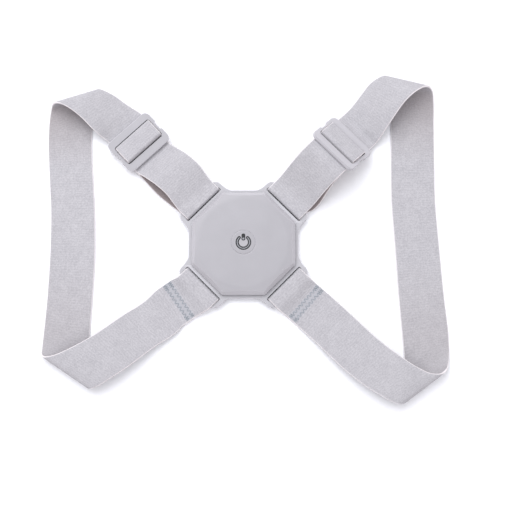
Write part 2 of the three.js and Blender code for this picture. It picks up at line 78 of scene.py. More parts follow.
# Module
HOUSING_ACROSS = 76.4
RIM_WIDTH = 2.2
RIM_THICKNESS = 2.6
RIM_ROUND = 0.6
EAR_LIFT = 0.9
UNDERCUT = 1.7
FLOOR_THICKNESS = 1.6
WALL = 1.8
EDGE_ROUND = 1
SLOT_INSET = 0.3
SLOT_ROUND = 0.15
SLOT_ROOM = 1.1
SLOT_SLACK = 0.6
EAR_BAR = 5.4
EAR_MARGIN = 2.7
EAR_CORNER = 4.5
FLAT_SHARE = 0.21
COVER_WALL = 2.3
CHAMFER_OUT = 1.8
CHAMFER_UP = 2.1
CROWN_INSET = 4.5
CROWN_LIFT = 1.4
CROWN_RISE = 0.5
OUTER_SLOPE = 0.26
CROWN_SOFTNESS = 0.35
COVER_ROUND = 0.35
CORNER_SHARPNESS = 120  # of the octagons: a higher power gives a smaller corner radius
RING_ANGLES = np.arange(384) * 2 * math.pi / 384
QUARTER = np.linspace(0, math.pi / 2, 6)
OCTAGON_INSET = CHAMFER_OUT + 1  # in from the cover's edge to the first octagonal ring
CROWN_RINGS = (9.6, 12, 16, 20, 24, 27, 29, 30, 30.6, 31, 31.3, 31.6, 31.9, 32.2, 32.5)
CHAMFER_RINGS = np.linspace(2.7, 0.6, 15)  # in from the cover's edge
WALL_REACH = 0.1  # a face this close to a slot or window still counts as its wall
WALL_STEEPNESS = 0.5
SHARP_FROM = 38  # degrees between two faces, from which their edge is drawn sharp

# Rings just inside the edge of a flat, which keep its shading level
PLATE_MARGIN = 0.12
FLOOR_MARGIN = 0.2
FACE_MARGIN = 0.1

RIM_HALF = HOUSING_ACROSS / 2
COVER_HALF = RIM_HALF - RIM_WIDTH
UNDER_RIM = STRAP_THICKNESS + EAR_LIFT
RIM_TOP = UNDER_RIM + RIM_THICKNESS
COVER_FOOT = RIM_TOP + FIT_GAP
CAVITY_HALF = COVER_HALF - WALL
BODY_HALF = RIM_HALF - UNDERCUT
SLOT_INNER = RIM_HALF + SLOT_INSET
SLOT_WIDTH = STRAP_THICKNESS + SLOT_ROOM
SLOT_HALF = STRAP_WIDTH / 2 + SLOT_SLACK
BAR_INNER = SLOT_INNER + SLOT_WIDTH
EAR_REACH = BAR_INNER + EAR_BAR
EAR_HALF = SLOT_HALF + EAR_MARGIN
SHOULDER = COVER_FOOT + COVER_WALL
CEILING = SHOULDER + CHAMFER_UP - WALL / 2
CROWN_RADIUS = COVER_HALF - CROWN_INSET
CROWN_EDGE = SHOULDER + CHAMFER_UP + CROWN_LIFT
CROWN_TOP = CROWN_EDGE + CROWN_RISE
EAR_ANGLES = [math.radians(angle) for angle in (45, 135, 225, 315)]

# Power button
BUTTON_RADIUS = 8.3
BUTTON_STAND = 0.15
BUTTON_ROUND = 0.3
GROOVE_WIDTH = 0.9  # of the soft groove round the button, each side
GROOVE_DEPTH = 0.3
SEEN_GAP = 0.02  # the button fits its hole more closely than the solids do
FLANGE_WIDTH = 2
FLANGE_THICKNESS = 1.2
SYMBOL_RADIUS = 4.25
SYMBOL_STROKE = 2.3
SYMBOL_DEPTH = 0.5
SYMBOL_GAP = 0.74
STROKE_ROUND = 0.1
SYMBOL_BAR_WIDTH = 2.6
SYMBOL_BAR_CORNER = 0.45 * SYMBOL_STROKE
SYMBOL_BAR_FROM = 1.2
SYMBOL_BAR_PAST = 0.6
LIGHT_STROKE = 0.7
LIGHT_SUNK = 0.12
LIGHT_ROUND = 0.12
LIGHT_CORNER = 0.3
LIGHT_AT = 2.5  # the bar's own light, above the button's middle
BUTTON_TOP = CROWN_TOP + BUTTON_STAND

# Tri-glide buckles
END_BAR = 5.7
SIDE_BAR = 2.9
CENTRE_BAR = 5.2
BUCKLE_THICKNESS = 2.6
BUCKLE_ROUND = 0.7
WINDOW_ROUND = 0.4
BUCKLE_CORNER = 4.2
WINDOW_ROOM = 1.85
WINDOW_SLACK = 0.4
HUMP_GAP = 0.7
BAR_RECESS = 1
NOTCH_DEPTH = 1.1
NOTCH_LENGTH = 5.5
NOTCH_ROUND = 0.8
CENTRE_CORNER = 0.3
CENTRE_ROUND = 0.5
WINDOW_HALF_X = CENTRE_BAR / 2 + FIT_GAP + 2 * STRAP_THICKNESS + LAYER_GAP + WINDOW_ROOM
WINDOW_HALF_Y = STRAP_WIDTH / 2 + WINDOW_SLACK
BUCKLE_HALF_X = WINDOW_HALF_X + END_BAR
BUCKLE_HALF_Y = WINDOW_HALF_Y + SIDE_BAR

# How the webbing lies round the bars
BAR_CLEAR = FIT_GAP + HALF_STRAP
BESIDE_BAR = BAR_INNER - BAR_CLEAR
OVER_EAR = RIM_TOP + BAR_CLEAR
LAYER_STEP = STRAP_THICKNESS + LAYER_GAP
SEAM_TOP = HALF_STRAP + LAYER_STEP
SEAM_STEPS = 22
UNDER_BARS = -BUCKLE_THICKNESS / 2 - BAR_CLEAR
OVER_CENTRE = BUCKLE_THICKNESS / 2 - BAR_RECESS + BAR_CLEAR
BESIDE_CENTRE = CENTRE_BAR / 2 + BAR_CLEAR
PAST_BUCKLE = BUCKLE_HALF_X + BEND_RADIUS

# Painted shade: how much browner the webbing is painted where it lies in shade, and from where to
# where that painted shade comes in
UNDER_RUN = 78  # of the webbing's length, from its sewn end to the upper ear
UNDER_PAINTED_SHADE = 0.85
FOLD_PAINTED_SHADE = 0.4
FOLD_FROM = (0.5, 0.85)  # shares of the loop's rise
FOOT_PAINTED_SHADE = 0.16
FOOT_FROM = (0.1, 0.6)  # shares of the loop's drop
LIFTED = (5, 9)  # height at which it starts to fade, and at which it is gone
OUTER_RUN = 0.8  # share of the loop's reach, past which it shows

# Table, light and camera
TABLE_HALF = 40000
TABLE_LEVEL = -0.2
LOW_LIGHT = 0.38
HIGH_LIGHT = 1.52
HORIZON = (0.03, 0.2)  # heights between which its pale band fades out
SENSOR = 36
LENS = 65.55
CAMERA_AT = (8, -108.8, 642)
CAMERA_AIM = (8, -7.1, 0)

# Where each buckle and each loop lies, and the lines across the webbing that shape it, as
# in the CAD model. Spans, under and over: share of the way, sway in strap widths, and lift.
# Lines: x and y in shares of reach and of rise or drop, turn in degrees, width, and how
# high the outer and the inner edge stand. Lifts and heights are in shares of curl.
Loop = namedtuple(
    "Loop", "side out across up yaw pitch reach rise drop curl seam_turn under over lines"
)
LEFT = Loop(
    side=-1, out=103.8, across=-1.1, up=6.2, yaw=2, pitch=0,
    reach=140, rise=110, drop=99, curl=17, seam_turn=10,
    under=[(0.2, -0.02, -0.05), (0.5, -0.05, -0.04), (0.8, -0.03, -0.02)],
    over=[(0.15, 0.03, 0.12), (0.35, 0.07, 0.3), (0.6, 0.06, 0.38), (0.82, 0.03, 0.2)],
    lines=[
        (0.674, 0.82, -44, 0.98, 0.58, 0.28),
        (0.732, 0.882, -34, 0.97, 0.84, 0.4),
        (0.784, 0.923, -26, 1, 0.99, 0.52),
        (0.825, 0.944, -22, 1.04, 0.95, 0.56),
        (0.852, 0.95, -20, 1.07, 0.62, 0.42),
        (0.868, 0.924, -18, 1.07, 0.25, 0.22),
        (0.879, 0.855, -17, 1.06, 0.07, 0.05),
        (0.884, 0.736, -11, 1.02, 0, 0),
        (0.881, 0.6, -3, 1, 0, 0),
        (0.871, 0.423, 0, 1, 0, 0),
        (0.858, 0.194, 0, 1, 0, 0),
        (0.854, -0.109, 0, 1.02, 0, 0),
        (0.861, -0.404, 3, 1.02, 0, 0),
        (0.87, -0.626, 11, 1.04, 0, 0),
        (0.876, -0.798, 24, 1.12, 0.04, 0.03),
        (0.874, -0.874, 32, 1.2, 0.19, 0.17),
        (0.854, -0.898, 34, 1.24, 0.43, 0.4),
        (0.811, -0.887, 34, 1.2, 0.54, 0.52),
        (0.745, -0.841, 36, 1.12, 0.6, 0.57),
        (0.643, -0.753, 41, 1.04, 0.54, 0.5),
        (0.514, -0.616, 45, 1, 0.32, 0.3),
        (0.414, -0.52, 45, 1, 0.16, 0.15),
    ],
)
RIGHT = Loop(
    side=1, out=97.1, across=0.2, up=15.5, yaw=0, pitch=-29,
    reach=141, rise=119, drop=109, curl=17, seam_turn=3.5,
    under=[(0.2, 0, 0.1), (0.45, -0.03, 0.06), (0.7, -0.07, -0.12), (0.88, -0.06, -0.08)],
    over=[(0.2, 0, -0.02), (0.45, 0.01, 0.08), (0.7, 0.01, 0.17), (0.88, 0, 0.16)],
    lines=[
        (0.577, 0.687, -44, 1, 0.17, 0.17),
        (0.605, 0.72, -44, 0.98, 0.36, 0.22),
        (0.638, 0.769, -44, 0.96, 0.62, 0.28),
        (0.676, 0.831, -40, 0.96, 0.88, 0.36),
        (0.718, 0.895, -34, 0.96, 1.07, 0.45),
        (0.766, 0.941, -26, 0.97, 1.13, 0.52),
        (0.812, 0.968, -19, 1, 0.92, 0.5),
        (0.843, 0.956, -16, 1.02, 0.53, 0.3),
        (0.854, 0.895, -14, 1.02, 0.15, 0.09),
        (0.855, 0.78, -9, 1, 0, 0),
        (0.851, 0.58, -2, 1, 0, 0),
        (0.848, 0.27, 0, 1, 0, 0),
        (0.86, 0, 2, 1, 0, 0),
        (0.876, -0.356, 3, 1.02, 0, 0),
        (0.889, -0.569, 9, 1.04, 0, 0),
        (0.896, -0.761, 25, 1.08, 0.03, 0.01),
        (0.893, -0.843, 34, 1.14, 0.16, 0.13),
        (0.88, -0.895, 37, 1.17, 0.37, 0.34),
        (0.849, -0.915, 35, 1.15, 0.52, 0.49),
        (0.799, -0.905, 33, 1.08, 0.61, 0.56),
        (0.741, -0.868, 34, 1.04, 0.64, 0.57),
        (0.67, -0.808, 38, 1.02, 0.58, 0.52),
        (0.571, -0.706, 43, 1, 0.44, 0.4),
        (0.44, -0.541, 44, 1, 0.22, 0.2),
    ],
)


# Colours and materials

# Sizes of the patterns. The webbing's are drawn about twice as coarse as the real yarn, and
# the plastics' grain and the table's tooth coarser too, so that they show in a picture.
WEFT_ROWS = 1.8
WARP_RIBS = 1.1
NAP = 0.9
ROW_WAVER = 4
WEBBING_CLOUD = 8
CLOUD_SHARE = 0.7  # how much the cloudiness weighs, against 1 for the specks
PALE_SELVEDGE_AND_PAINTED_HIGHLIGHT = (14.85, 15.2)  # from the middle to where the pale edge starts and is full: a lighter selvedge, with a painted highlight
THREAD_PLIES = 0.35
PLASTIC_CLOUD = 13
RECESS_GRAIN = 0.4
GUIDE_HAZE = 1.1
TABLE_TOOTH = 1.5

# How strongly they show
ROW_SWAY = 2.4
RIB_SHARE = 0.5  # of the ribs, against 1 for the rows
WEAVE_SHARE = 0.045  # of rows and ribs, against 1 for the nap
SPECKS = (0.34, 0.66)  # unevenness that looks darkest, and lightest
RUBBED = (0.52, 0.6)  # pointiness at which an edge starts to look pale, and is palest
RUBBED_SHARE = 0.7
PAINTED_SLOPE_LIGHT = (0.995, 0.85)  # painted light: a slope's upward share where it starts to be painted paler, and is palest
DULL_SPREAD = 0.07


def colour(code):
    """A colour given as an sRGB code, as the linear values that a shader takes."""
    shares = [int(code[i:i + 2], 16) / 255 for i in (1, 3, 5)]
    return [s / 12.92 if s <= 0.04045 else ((s + 0.055) / 1.055) ** 2.4 for s in shares] + [1]


def add(tree, kind, inputs, **settings):
    """A new node. inputs: a socket's name or number, with its value or what feeds it."""
    made = tree.nodes.new("ShaderNode" + kind)
    for name, value in settings.items():
        setattr(made, name, value)
    for socket, value in inputs.items():
        if isinstance(value, bpy.types.Node):
            value = value.outputs[0]
        if isinstance(value, bpy.types.NodeSocket):
            tree.links.new(value, made.inputs[socket])
        else:
            made.inputs[socket].default_value = value
    return made


def maths(tree, operation, *inputs):
    """A Math node."""
    return add(tree, "Math", dict(enumerate(inputs)), operation=operation)


def ranged(tree, value, low, high, from_value=0, to_value=1):
    """Goes from one value to the other, while what feeds it goes from low to high."""
    return add(tree, "MapRange", {
        "Value": value, "From Min": low, "From Max": high,
        "To Min": from_value, "To Max": to_value,
    })


def blend(tree, share, first, second):
    """Between two colours, each an sRGB code or what feeds it."""
    ends = [colour(end) if isinstance(end, str) else end for end in (first, second)]
    mixed = add(tree, "Mix", {0: share, 6: ends[0], 7: ends[1]}, data_type="RGBA")
    return mixed.outputs[2]


def noise(tree, size, detail, **more):
    """Noise fixed to the piece, for a pattern of this size in millimetres."""
    place = add(tree, "TexCoord", {}).outputs["Object"]
    scale = 1 / (size * MM)
    return add(tree, "TexNoise", {"Vector": place, "Scale": scale, "Detail": detail, **more})


def ridges(tree, along, pitch):
    """A wave between -1 and 1, with its crests this many millimetres apart."""
    return maths(tree, "SINE", maths(tree, "MULTIPLY", along, 2 * math.pi / pitch))


def bump(tree, height, strength, depth):
    """Unevenness of this depth in millimetres, too fine for the mesh."""
    return add(tree, "Bump", {"Height": height, "Strength": strength, "Distance": depth * MM})


def material(name, surface):
    """A material whose nodes surface(tree) makes. surface returns the shader."""
    made = bpy.data.materials.new(name)
    made.use_nodes = True
    tree = made.node_tree
    tree.nodes.clear()
    add(tree, "OutputMaterial", {"Surface": surface(tree)})
    return made


# edge: one paler tone, both for edges worn pale and for the painted light on slopes
def moulded(name, tone, shade, edge, roughness, grain):
    """Plastic from a spark-eroded mould: an even tone with a faint cloud, a fine grain that
    breaks up the highlight, edges worn lighter, and slopes with painted light on them."""
    def surface(tree):
        body = blend(tree, noise(tree, PLASTIC_CLOUD, 3), shade, tone)
        form = add(tree, "NewGeometry", {})
        rubbed = ranged(tree, form.outputs["Pointiness"], *RUBBED, 0, RUBBED_SHARE)
        level = add(tree, "SeparateXYZ", {"Vector": form.outputs["Normal"]}).outputs[2]
        # Painted light: the steeper a face, the paler it is painted, towards the edge tone
        painted_slope_light = ranged(tree, level, *PAINTED_SLOPE_LIGHT)
        lighter = maths(tree, "MAXIMUM", rubbed, painted_slope_light)
        pits = noise(tree, grain, 2)
        duller = (roughness - DULL_SPREAD, roughness + DULL_SPREAD)
        return add(tree, "BsdfPrincipled", {
            "Base Color": blend(tree, lighter, body, edge),
            "Roughness": ranged(tree, pits, 0, 1, *duller),
            "Normal": bump(tree, pits, 0.35, 0.05),
            "IOR": 1.5,
        })
    return material(name, surface)


def housing_plastic():
    """ABS with the coarsest spark grain of the shells, so it looks the palest and flattest."""
    return moulded(
        "spark-eroded ABS, housing",
        tone="#b3b1b6", shade="#abaaae", edge="#c6c4c9", roughness=0.5, grain=0.5,
    )


def cover_plastic():
    """ABS with a finer spark grain: a little darker and silkier than the housing."""
    return moulded(
        "spark-eroded ABS, cover",
        tone="#a7a5aa", shade="#9f9da2", edge="#b6b4b9", roughness=0.42, grain=0.45,
    )


def button_plastic():
    """The cover's ABS from a mould of its own, a trace darker, so its ring shows softly."""
    return moulded(
        "spark-eroded ABS, button",
        tone="#a4a2a7", shade="#9c9a9f", edge="#b5b3b8", roughness=0.45, grain=0.45,
    )


def slider_plastic():
    """Acetal with an open spark grain: a soft sheen, edges worn pale, and painted light on its
    slopes.
    """
    return moulded(
        "spark-eroded acetal, sliders",
        tone="#a8a6ab", shade="#a09ea3", edge="#c0bec3", roughness=0.45, grain=0.55,
    )


def woven_elastic():
    """Elastic webbing: wavy rows of weft, a brushed nap that breaks them into specks, a
    slow cloudiness, painted shade that makes it browner where it lies in shade, and a firm,
    lighter selvedge that also carries a painted highlight."""
    def surface(tree):
        woven = add(tree, "Attribute", {}, attribute_name="webbing").outputs["Vector"]
        across, along, sewn = add(tree, "SeparateXYZ", {"Vector": woven}).outputs
        painted_shade = add(tree, "Attribute", {}, attribute_name="painted_shade").outputs["Fac"]
        waver = noise(tree, ROW_WAVER, 2)
        rows = ridges(tree, maths(tree, "MULTIPLY_ADD", waver, ROW_SWAY, along), WEFT_ROWS)
        ribs = ridges(tree, across, WARP_RIBS)
        weave = maths(tree, "MULTIPLY_ADD", ribs, RIB_SHARE, rows)
        nap = noise(tree, NAP, 3, Roughness=0.65)
        height = maths(tree, "MULTIPLY_ADD", weave, WEAVE_SHARE, nap)
        specks = ranged(tree, height, *SPECKS)
        cloud = noise(tree, WEBBING_CLOUD, 3)
        mixed = maths(tree, "MULTIPLY_ADD", cloud, CLOUD_SHARE, specks)
        mixed = maths(tree, "MULTIPLY", mixed, 1 / (1 + CLOUD_SHARE))
        tone = blend(tree, mixed, "#a09ea3", "#c4c2c6")
        tone = blend(tree, maths(tree, "MULTIPLY", sewn, specks), tone, "#9aa1aa")
        # Painted shade: browner where the webbing lies in shade, under the buckle and beside the
        # folds
        tone = blend(tree, painted_shade, tone, "#948786")
        # The pale edge: a lighter selvedge, and a painted highlight where the edge catches light
        edge = ranged(tree, maths(tree, "ABSOLUTE", across), *PALE_SELVEDGE_AND_PAINTED_HIGHLIGHT)
        return add(tree, "BsdfPrincipled", {
            "Base Color": blend(tree, edge, tone, "#e4dfe1"),
            "Roughness": 0.92,
            "Normal": bump(tree, height, 0.7, 0.22),
            "Sheen Weight": 0.1,
            "Sheen Roughness": 0.5,
            "Specular IOR Level": 0.2,
        })
    return material("woven elastic, brushed", surface)


def sewing_thread():
    """Spun polyester thread: matt cool grey, a little darker between its plies."""
    def surface(tree):
        plies = noise(tree, THREAD_PLIES, 2)
        return add(tree, "BsdfPrincipled", {
            "Base Color": blend(tree, plies, "#828890", "#a2a7ae"),
            "Roughness": 0.75,
            "Normal": bump(tree, plies, 0.5, 0.06),
            "Sheen Weight": 0.2,
        })
    return material("spun polyester thread", surface)


def near_black_and_painted_shade():
    """Nearly black, with a dull grain: the sunk symbol's floor, and painted shade on the walls
    of the slots and the sliders' windows."""
    def surface(tree):
        return add(tree, "BsdfPrincipled", {
            "Base Color": blend(tree, noise(tree, RECESS_GRAIN, 3), "#131315", "#26262a"),
            "Roughness": 0.6,
        })
    return material("near-black, matt, and painted shade", surface)


def light_guide():
    """Frosted polycarbonate, milky grey while the light behind it is off."""
    def surface(tree):
        return add(tree, "BsdfPrincipled", {
            "Base Color": blend(tree, noise(tree, GUIDE_HAZE, 2), "#7c7d82", "#929399"),
            "Roughness": 0.3,
        })
    return material("polycarbonate light guide, frosted", surface)


def white_laminate():
    """Matt white laminate with a paper-like tooth, too fine to show where it is well lit."""
    def surface(tree):
        tooth = noise(tree, TABLE_TOOTH, 3)
        return add(tree, "BsdfPrincipled", {
            "Base Color": blend(tree, tooth, "#f7f7fa", "#fcfcff"),
            "Roughness": 0.9,
            "Normal": bump(tree, tooth, 0.2, 0.05),
            "Specular IOR Level": 0.1,
        })
    return material("white laminate, matt", surface)


# Making meshes


def mesh_object(name, vertices, faces, *materials):
    """An object from its corners in millimetres and its faces, not yet shaded."""
    mesh = bpy.data.meshes.new(name)
    mesh.from_pydata((np.asarray(vertices, float) * MM).tolist(), [], faces)
    for used in materials:
        mesh.materials.append(used)
    made = bpy.data.objects.new(name, mesh)
    bpy.context.scene.collection.objects.link(made)
    return made


def carve(body, tools):
    """Joins or cuts each tool's shape, and takes the tools away."""
    for tool, operation in tools:
        cut = body.modifiers.new(operation, "BOOLEAN")
        cut.object = tool
        cut.operation = operation
        cut.solver = "EXACT"
        cut.material_mode = "TRANSFER"
    bpy.context.view_layer.update()
    seen = body.evaluated_get(bpy.context.evaluated_depsgraph_get())
    carved = bpy.data.meshes.new_from_object(seen)
    body.modifiers.clear()
    body.data = carved
    for tool, _ in tools:
        bpy.data.objects.remove(tool)


def attach(made, body, slot, *stands_for):
    """The piece rides on its CAD body, and stands for the CAD nodes named."""
    made.data.shade_smooth()
    made.data.set_sharp_from_angle(angle=math.radians(SHARP_FROM))
    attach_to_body(made, body)
    if stands_for:
        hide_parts(*stands_for)


def loft(rings, closed):
    """Corners and faces of a skin over rings of equally many corners, each anticlockwise
    when seen from the side that the rings come from. An open one gets a cap at each end."""
    count = len(rings[0])
    vertices = np.concatenate(rings)
    faces = []
    pairs = len(rings) if closed else len(rings) - 1
    for i in range(pairs):
        start = i * count
        other = (i + 1) % len(rings) * count
        for k in range(count):
            on = (k + 1) % count
            faces.append((start + k, start + on, other + on, other + k))
    if not closed:
        faces.append(tuple(range(count))[::-1])
        faces.append(tuple(range((len(rings) - 1) * count, len(rings) * count)))
    return vertices, faces


def rotated(point, angle):
    cos = math.cos(angle)
    sin = math.sin(angle)
    return np.array([point[0] * cos - point[1] * sin, point[0] * sin + point[1] * cos])


def unit(vector):
    return vector / np.linalg.norm(vector)


def arc(centre, radius, start, end, steps=10):
    angles = np.linspace(start, end, steps + 1)
    return [centre + radius * np.array([math.cos(a), math.sin(a)]) for a in angles]


def bent(start, bend, end, steps=14):
    """A curve from start to end that heads for bend at both ends."""
    shares = np.linspace(0, 1, steps + 1)
    return [(1 - t) ** 2 * start + 2 * t * (1 - t) * bend + t ** 2 * end for t in shares]


def with_bends(corners, radius, step=BEND_STEP):
    """A path with each inner corner turned into an arc."""
    points = [np.array(corner, float) for corner in corners]
    path = [points[0]]
    for before, corner, after in zip(points, points[1:], points[2:]):
        back = unit(before - corner)
        on = unit(after - corner)
        half = math.acos(np.clip(back @ on, -1, 1)) / 2
        centre = corner + unit(back + on) * radius / math.sin(half)
        start = corner + back * radius / math.tan(half) - centre
        sweep = math.copysign(math.pi - 2 * half, on[0] * back[1] - on[1] * back[0])
        steps = math.ceil(abs(sweep) / step)
        path += [centre + rotated(start, sweep * k / steps) for k in range(steps + 1)]
    path.append(points[-1])
    return path


def rounded_rectangle(half_x, half_y, radius, x=0.0, y=0.0):
    """Anticlockwise, from the lower right corner."""
    points = []
    for quarter, (right, top) in enumerate([(1, -1), (1, 1), (-1, 1), (-1, -1)]):
        corner = np.array([x + right * (half_x - radius), y + top * (half_y - radius)])
        start = (quarter - 1) * math.pi / 2
        points += arc(corner, radius, start, start + math.pi / 2, steps=6)
    return points


def without_repeats(points):
    """Drops each point that lies on the one before it."""
    points = np.array(points)
    apart = np.linalg.norm(points - np.roll(points, 1, axis=0), axis=1)
    return points[apart > 1e-6]


def edge_rows(low, high, rounding):
    """Insets and heights that round a plate's wall over into its flats."""
    upper = [(rounding * (1 - math.cos(a)), high - rounding * (1 - math.sin(a))) for a in QUARTER]
    upper.append((rounding + PLATE_MARGIN, high))
    return [(inset, low + high - z) for inset, z in upper[::-1]] + upper


def inward_of(points):
    """How each corner of a contour moves when both of its sides move in by 1."""
    ahead = np.roll(points, -1, axis=0) - points
    ahead /= np.linalg.norm(ahead, axis=1)[:, None]
    left = np.stack([-ahead[:, 1], ahead[:, 0]], axis=1)
    before = np.roll(left, 1, axis=0)
    return (left + before) / (1 + (left * before).sum(axis=1))[:, None]


def flat_cap(vertices, contours, up):
    """Triangles between the first contour and the others, facing up or down, less slivers."""
    flat = [[Vector(vertices[i]) for i in contour] for contour in contours]
    numbers = [i for contour in contours for i in contour]
    faces = []
    for triangle in tessellate_polygon(flat):
        a, b, c = (np.array(vertices[numbers[i]]) for i in triangle)
        turn = np.cross(b - a, c - a)[2]
        if abs(turn) > 1e-9:
            corners = triangle if (turn > 0) == up else triangle[::-1]
            faces.append(tuple(numbers[i] for i in corners))
    return faces


def rounded_plate(outline, holes, low, high, rounding, hole_rounding=None):
    """Corners and faces of a flat moulding with rounded edges. The outline runs
    anticlockwise and the holes clockwise, so the plastic is always on the left."""
    vertices = []
    faces = []
    caps = [[], []]
    for contour in [outline, *holes]:
        rows = edge_rows(low, high, rounding)
        if contour is not outline and hole_rounding:
            rows = edge_rows(low, high, hole_rounding)
        points = without_repeats(contour)
        inward = inward_of(points)
        first = len(vertices)
        count = len(points)
        for inset, z in rows:
            vertices += [(*(p + inset * n), z) for p, n in zip(points, inward)]
        for row in range(len(rows) - 1):
            start = first + row * count
            for k in range(count):
                on = (k + 1) % count
                faces.append((start + k, start + on, start + on + count, start + k + count))
        caps[0].append(list(range(first, first + count)))
        caps[1].append(list(range(len(vertices) - count, len(vertices))))
    faces += flat_cap(vertices, caps[0], up=False) + flat_cap(vertices, caps[1], up=True)
    return vertices, faces


def octagon_radii(half):
    """Distance from the middle at each angle, for an octagon with small round corners."""
    to_flats = np.abs(np.cos(RING_ANGLES[:, None] - np.arange(4) * math.pi / 4))
    return half / (to_flats ** CORNER_SHARPNESS).sum(axis=1) ** (1 / CORNER_SHARPNESS)


def ring(radii, heights):
    """A ring of points round the middle. Each value is one for all or one a point."""
    x = radii * np.cos(RING_ANGLES)
    y = radii * np.sin(RING_ANGLES)
    return np.stack([x, y, heights * np.ones(len(x))], axis=1)


# Module


def on_diagonal(angle, u, v):
    """A point u out along an ear's diagonal and v beside it."""
    return rotated(np.array([u, v], float), angle)


def rim_outline():
    """The octagon's flats, drawn out into four round-cornered ears."""
    outline = []
    flat_half = FLAT_SHARE * RIM_HALF
    corner_along = RIM_HALF - EAR_HALF * math.sqrt(2)
    turn_in = EAR_REACH - EAR_CORNER
    for angle in EAR_ANGLES:
        def flat(along, sign):
            return on_diagonal(angle - sign * math.pi / 4, RIM_HALF, sign * along)
        outline += bent(
            flat(flat_half, 1), flat(corner_along, 1), on_diagonal(angle, turn_in, -EAR_HALF)
        )
        first = on_diagonal(angle, turn_in, EAR_CORNER - EAR_HALF)
        outline += arc(first, EAR_CORNER, angle - math.pi / 2, angle)
        second = on_diagonal(angle, turn_in, EAR_HALF - EAR_CORNER)
        outline += arc(second, EAR_CORNER, angle, angle + math.pi / 2)
        outline += bent(
            on_diagonal(angle, turn_in, EAR_HALF), flat(corner_along, -1), flat(flat_half, -1)
        )
    return outline


def slot_hole(angle):
    middle = SLOT_INNER + SLOT_WIDTH / 2
    straight = rounded_rectangle(SLOT_WIDTH / 2, SLOT_HALF, SLOT_WIDTH / 3, middle)
    return [rotated(point, angle) for point in straight[::-1]]


def beside_slot(place):
    """Whether a point of the housing lies on a wall of one of its slots."""
    for angle in EAR_ANGLES:
        u, v = rotated(place, -angle)
        between_bars = SLOT_INNER - WALL_REACH < u < BAR_INNER + WALL_REACH
        if between_bars and abs(v) < SLOT_HALF + WALL_REACH:
            return True
    return False


def paint_shade_on_walls(made, inside):
    """Paints shade on the upright walls of a slot or window, with the moulding's second material.
    """
    for face in made.data.polygons:
        steep = abs(face.normal.z) < WALL_STEEPNESS
        if steep and inside(np.array(face.center[:2]) / MM):
            face.material_index = 1


def back_housing(plastic, shade):
    """Lower shell: an octagonal tub, its rim, and four ears with slots for the webbing.
    The slots' walls are painted nearly black, as painted shade, as they look in their own shade."""
    holes = [slot_hole(angle) for angle in EAR_ANGLES]
    rim = rounded_plate(rim_outline(), holes, UNDER_RIM, RIM_TOP, RIM_ROUND, SLOT_ROUND)
    # shade: the near-black second material, painted onto the slots' walls as painted shade
    housing = mesh_object("housing_moulding", *rim, plastic, shade)
    paint_shade_on_walls(housing, beside_slot)
    walls = [(BODY_HALF - EDGE_ROUND - FLOOR_MARGIN, 0.0)] + [
        (BODY_HALF - EDGE_ROUND * (1 - math.sin(a)), EDGE_ROUND * (1 - math.cos(a)))
        for a in QUARTER
    ] + [(BODY_HALF, UNDER_RIM + RIM_ROUND)]
    tub = loft([ring(octagon_radii(half), z) for half, z in walls], closed=False)
    above = RIM_TOP + RIM_THICKNESS
    inside = octagon_radii(CAVITY_HALF)
    cavity = loft([ring(inside, z) for z in (FLOOR_THICKNESS, above)], closed=False)
    carve(housing, [
        (mesh_object("tub", *tub, plastic), "UNION"),
        (mesh_object("cavity", *cavity, plastic), "DIFFERENCE"),
    ])
    attach(housing, "harness", "housing_plastic", "back_housing")


def lower_of(first, second, softness):
    """The lower of two heights, with a fillet where they cross."""
    share = np.clip(0.5 + 0.5 * (second - first) / softness, 0, 1)
    return second + (first - second) * share - softness * share * (1 - share)


def dome(radii):
    """Height of the cover's top: a shallow crown, and a steeper slope outside it."""
    crown = CROWN_TOP - CROWN_RISE * (radii / CROWN_RADIUS) ** 2
    slope = CROWN_EDGE - (radii - CROWN_RADIUS) * OUTER_SLOPE
    return lower_of(crown, slope, CROWN_SOFTNESS)


def front_cover(plastic):
    """Upper shell: a round crown that blends into an octagon with a chamfered edge."""
    hole = BUTTON_RADIUS + SEEN_GAP
    rings = [ring(hole, CEILING)]
    for a in QUARTER:
        radius = hole + GROOVE_WIDTH * (1 - math.cos(a))
        rings.append(ring(radius, dome(radius) - GROOVE_DEPTH * (1 - math.sin(a))))
    rings += [ring(radius, dome(radius)) for radius in CROWN_RINGS]
    for share in np.linspace(0, 1, 8)[1:]:
        octagon = octagon_radii(COVER_HALF - OCTAGON_INSET)
        radii = (1 - share) * CROWN_RINGS[-1] + share * octagon
        rings.append(ring(radii, dome(radii)))
    steepness = CHAMFER_UP / CHAMFER_OUT
    chamfer = [(COVER_HALF - inset, SHOULDER + inset * steepness) for inset in CHAMFER_RINGS]
    edge = with_bends(
        [
            chamfer[-1],
            (COVER_HALF, SHOULDER),
            (COVER_HALF, COVER_FOOT),
            (CAVITY_HALF, COVER_FOOT),
            (CAVITY_HALF, SHOULDER),
            (CAVITY_HALF - CHAMFER_OUT, CEILING),
        ],
        COVER_ROUND, 2 * BEND_STEP,
    )
    for half, z in chamfer[:-1] + edge:
        radii = octagon_radii(half)
        rings.append(ring(radii, lower_of(dome(radii), z, CROWN_SOFTNESS)))
    cover = mesh_object("cover_moulding", *loft(rings[::-1], closed=True), plastic)
    attach(cover, "harness", "cover_plastic", "front_cover")


